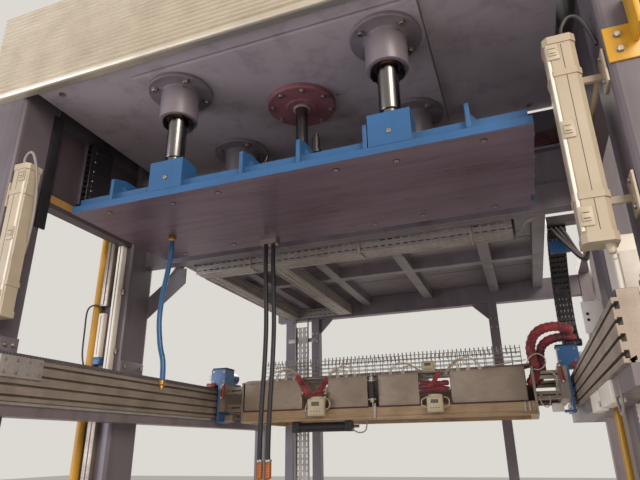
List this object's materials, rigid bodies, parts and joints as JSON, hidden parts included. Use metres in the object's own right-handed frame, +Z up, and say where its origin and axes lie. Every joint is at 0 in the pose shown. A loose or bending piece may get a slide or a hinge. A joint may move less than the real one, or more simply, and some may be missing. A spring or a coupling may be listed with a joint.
{
  "type": "hydraulic press",
  "caption": "Column-framed hydraulic press with a guided upper platen and a heater carriage that runs in on side rails.",
  "frame": {"origin": "on the floor, on the press axis, at the middle of the base frame's underside", "axes": "+X to the right, +Y to the rear, where the heater carriage stands, +Z up"},
  "size_m": [2.891, 2.5003, 4.0903],
  "materials": {
    "grey_paint": "satin grey paint on welded steel",
    "dark_grey_paint": "dark grey paint on welded steel",
    "machined_steel": "milled and lightly oiled",
    "header_aluminium": "extruded, natural",
    "chromed_rod": "hard chromed and ground",
    "red_primer": "matt red primer",
    "pale_seal": "moulded wiper",
    "bush_bronze": "turned bronze",
    "platen_steel": "dark milled plate",
    "blue_paint": "satin blue paint",
    "ochre_paint": "old ochre paint",
    "brown_grey_paint": "brown grey paint",
    "galvanised_sheet": "galvanised",
    "rail_aluminium": "extruded, dulled",
    "profile_aluminium": "extruded, natural",
    "bare_sheet": "bare folded sheet, dusty",
    "tan_sheet": "heat-tinted sheet",
    "drive_blue_paint": "blue enamel",
    "black_plastic": "moulded nylon",
    "lamp_polycarbonate": "frosted, yellowed",
    "cabinet_white": "powder coated",
    "yellow_paint": "yellow enamel",
    "blue_hose": "smooth polyurethane",
    "black_hose": "smooth rubber cover",
    "fitting_brass": "turned brass"
  },
  "bodies": {
    "frame": {"column_front_left": "grey_paint", "column_front_right": "grey_paint", "column_rear_left": "grey_paint", "column_rear_right": "grey_paint", "crown": "grey_paint", "cylinder_tube": "grey_paint", "cylinder_cap": "grey_paint", "guide_housing_front_left": "grey_paint", "guide_housing_front_right": "grey_paint", "guide_housing_rear_left": "grey_paint", "guide_housing_rear_right": "grey_paint", "rear_beam": "grey_paint", "annex_rear": "grey_paint", "annex_roof": "grey_paint", "base_frame": "dark_grey_paint", "bed": "dark_grey_paint", "bolster": "machined_steel", "front_header": "header_aluminium", "rod_flange": "red_primer", "wiper_ring": "pale_seal", "guide_bush_front_left": "bush_bronze", "guide_bush_front_right": "bush_bronze", "guide_bush_rear_left": "bush_bronze", "guide_bush_rear_right": "bush_bronze", "side_panel_left": "ochre_paint", "side_panel_right": "ochre_paint", "annex_side_left": "brown_grey_paint", "annex_side_right": "brown_grey_paint", "cable_tray": "galvanised_sheet", "rail_left": "rail_aluminium", "rail_right": "rail_aluminium", "energy_chain": "black_plastic", "lamp_left": "lamp_polycarbonate", "lamp_right": "lamp_polycarbonate", "cabinet": "cabinet_white", "guard_tube_left": "yellow_paint"},
    "platen": {"platen_plate": "platen_steel", "platen_frame": "blue_paint", "guide_rod_front_left": "chromed_rod", "guide_rod_front_right": "chromed_rod", "guide_rod_rear_left": "chromed_rod", "guide_rod_rear_right": "chromed_rod", "piston_rod": "chromed_rod", "piston": "machined_steel", "hose_gland_blue": "fitting_brass", "hose_blue": "blue_hose", "hose_end_blue": "fitting_brass", "hose_manifold": "machined_steel", "hose_black_left": "black_hose", "hose_black_right": "black_hose"},
    "carriage": {"carriage_frame": "profile_aluminium", "heater_box_1": "bare_sheet", "heater_box_2": "bare_sheet", "heater_box_3": "bare_sheet", "heater_box_4": "bare_sheet", "heater_pan": "tan_sheet", "mesh_basket": "galvanised_sheet", "carriage_drive_left": "drive_blue_paint", "carriage_drive_right": "drive_blue_paint"},
    "door": {"cabinet_door": "cabinet_white"}
  },
  "joints": [
    {"name": "platen_slide", "type": "slide", "parent": "frame", "child": "platen", "axis": [0, 0, 1], "range_m": [-0.6, 0.1]},
    {"name": "carriage_slide", "type": "slide", "parent": "frame", "child": "carriage", "axis": [0, 1, 0], "range_m": [-0.7, 0.1], "deforming": ["energy_chain"]},
    {"name": "door_hinge", "type": "hinge", "parent": "frame", "child": "door", "pos_m": [1.165, 0.1444, 2.055], "axis": [0, 0, 1], "range_deg": [-90, 0]}
  ]
}
